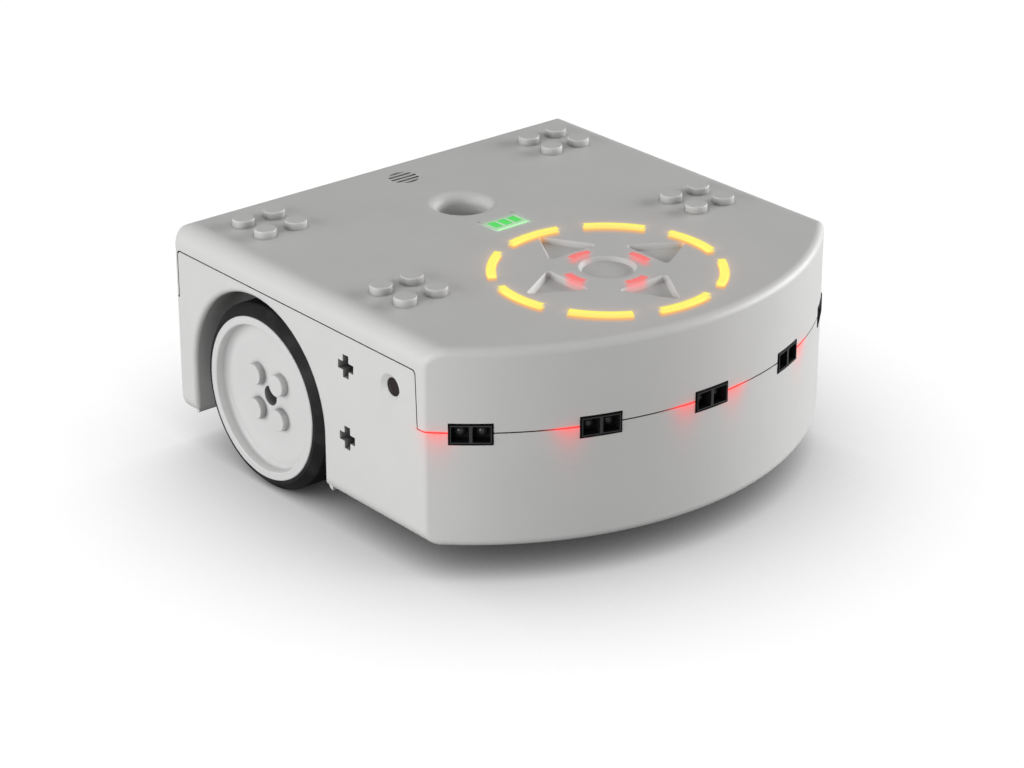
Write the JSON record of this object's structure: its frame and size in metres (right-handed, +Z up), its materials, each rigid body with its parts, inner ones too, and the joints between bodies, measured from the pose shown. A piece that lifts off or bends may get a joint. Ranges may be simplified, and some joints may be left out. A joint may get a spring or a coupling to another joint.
{
  "type": "educational coding robot",
  "caption": "Low white two-wheeled coding robot with a curved front, light ring and arrow pads, brick studs, a pen hole and edge proximity sensors.",
  "frame": {"origin": "on the floor midway between the two wheels, directly under the axle line and the pen hole", "axes": "+Z up, the curved front faces -Y, the robot's own left side is +X"},
  "size_m": [0.1106, 0.111, 0.053],
  "materials": {
    "shell": "fine matt texture",
    "wheel_white": "satin",
    "tyre": "smooth rubber",
    "steel": "bright",
    "brass": "turned",
    "gear_plastic": "natural acetal",
    "light_yellow": "diffusing",
    "light_red": "diffusing",
    "light_green": "diffusing",
    "led_white": "moulded",
    "board": "solder mask",
    "black_plastic": "satin",
    "dark_lens": "clear dark",
    "ir_red": "dark clear",
    "battery_wrap": "foil wrap",
    "foam": "soft foam",
    "skid": "polished"
  },
  "bodies": {
    "chassis": {"top_cover": "shell", "bottom_shell": "shell", "motor_left": "steel", "motor_right": "steel", "gear_pins": "steel", "cover_screws": "steel", "main_board_screws": "steel", "touch_board_screws": "steel", "gearbox_screws": "steel", "usb_socket": "steel", "card_socket": "steel", "axle_bushes": "brass", "gearbox_plate_left": "gear_plastic", "gearbox_plate_right": "gear_plastic", "ring_light_guide": "light_yellow", "direction_light_guide": "light_red", "sensor_leds": "light_red", "battery_light_guide": "light_green", "indicator_leds": "led_white", "main_board": "board", "touch_board": "board", "board_components": "black_plastic", "board_link": "black_plastic", "speaker": "black_plastic", "microphone": "black_plastic", "reset_switch": "black_plastic", "infrared_receiver": "black_plastic", "front_sensor_right_corner": "black_plastic", "front_sensor_right": "black_plastic", "front_sensor_centre": "black_plastic", "front_sensor_left": "black_plastic", "front_sensor_left_corner": "black_plastic", "rear_sensor_left": "black_plastic", "rear_sensor_right": "black_plastic", "ground_sensor_left": "black_plastic", "ground_sensor_right": "black_plastic", "proximity_lenses": "dark_lens", "infrared_window": "ir_red", "battery_pack": "battery_wrap", "battery_pad": "foam", "touch_pads": "foam", "front_skid": "skid"},
    "left_wheel": {"wheel_hub_left": "wheel_white", "tyre_left": "tyre", "axle_left": "steel", "axle_gear_left": "gear_plastic"},
    "left_second_gear": {"second_gear_left": "gear_plastic"},
    "left_first_gear": {"first_gear_left": "gear_plastic"},
    "left_rotor": {"motor_pinion_left": "brass", "motor_shaft_left": "steel"},
    "right_wheel": {"wheel_hub_right": "wheel_white", "tyre_right": "tyre", "axle_right": "steel", "axle_gear_right": "gear_plastic"},
    "right_second_gear": {"second_gear_right": "gear_plastic"},
    "right_first_gear": {"first_gear_right": "gear_plastic"},
    "right_rotor": {"motor_pinion_right": "brass", "motor_shaft_right": "steel"},
    "reset_button": {"reset_button": "black_plastic"},
    "memory_card": {"memory_card": "black_plastic"}
  },
  "joints": [
    {"name": "left_wheel_spin", "type": "hinge", "parent": "chassis", "child": "left_wheel", "pos_m": [0.04, 0, 0.0207], "axis": [1, 0, 0], "continuous": true},
    {"name": "left_second_gear_spin", "type": "hinge", "parent": "chassis", "child": "left_second_gear", "pos_m": [0.035, -0.00999, 0.02646], "axis": [1, 0, 0], "continuous": true},
    {"name": "left_first_gear_spin", "type": "hinge", "parent": "chassis", "child": "left_first_gear", "pos_m": [0.035, -0.02161, 0.02958], "axis": [1, 0, 0], "continuous": true},
    {"name": "left_motor_spin", "type": "hinge", "parent": "chassis", "child": "left_rotor", "pos_m": [0.03, -0.03146, 0.02268], "axis": [1, 0, 0], "continuous": true},
    {"name": "right_wheel_spin", "type": "hinge", "parent": "chassis", "child": "right_wheel", "pos_m": [-0.04, 0, 0.0207], "axis": [1, 0, 0], "continuous": true},
    {"name": "right_second_gear_spin", "type": "hinge", "parent": "chassis", "child": "right_second_gear", "pos_m": [-0.035, -0.00999, 0.02646], "axis": [1, 0, 0], "continuous": true},
    {"name": "right_first_gear_spin", "type": "hinge", "parent": "chassis", "child": "right_first_gear", "pos_m": [-0.035, -0.02161, 0.02958], "axis": [1, 0, 0], "continuous": true},
    {"name": "right_motor_spin", "type": "hinge", "parent": "chassis", "child": "right_rotor", "pos_m": [-0.03, -0.03146, 0.02268], "axis": [1, 0, 0], "continuous": true},
    {"name": "reset_press", "type": "slide", "parent": "chassis", "child": "reset_button", "axis": [0, -1, 0], "range_m": [0, 0.0005]},
    {"name": "memory_card_slide", "type": "slide", "parent": "chassis", "child": "memory_card", "axis": [0, 1, 0], "range_m": [0, 0.012]}
  ],
  "couplings": [
    {"joint": "left_second_gear_spin", "follows": "left_wheel_spin", "ratio": -2.8333},
    {"joint": "left_first_gear_spin", "follows": "left_wheel_spin", "ratio": 8.5},
    {"joint": "left_motor_spin", "follows": "left_wheel_spin", "ratio": -25.5},
    {"joint": "right_second_gear_spin", "follows": "right_wheel_spin", "ratio": -2.8333},
    {"joint": "right_first_gear_spin", "follows": "right_wheel_spin", "ratio": 8.5},
    {"joint": "right_motor_spin", "follows": "right_wheel_spin", "ratio": -25.5}
  ]
}
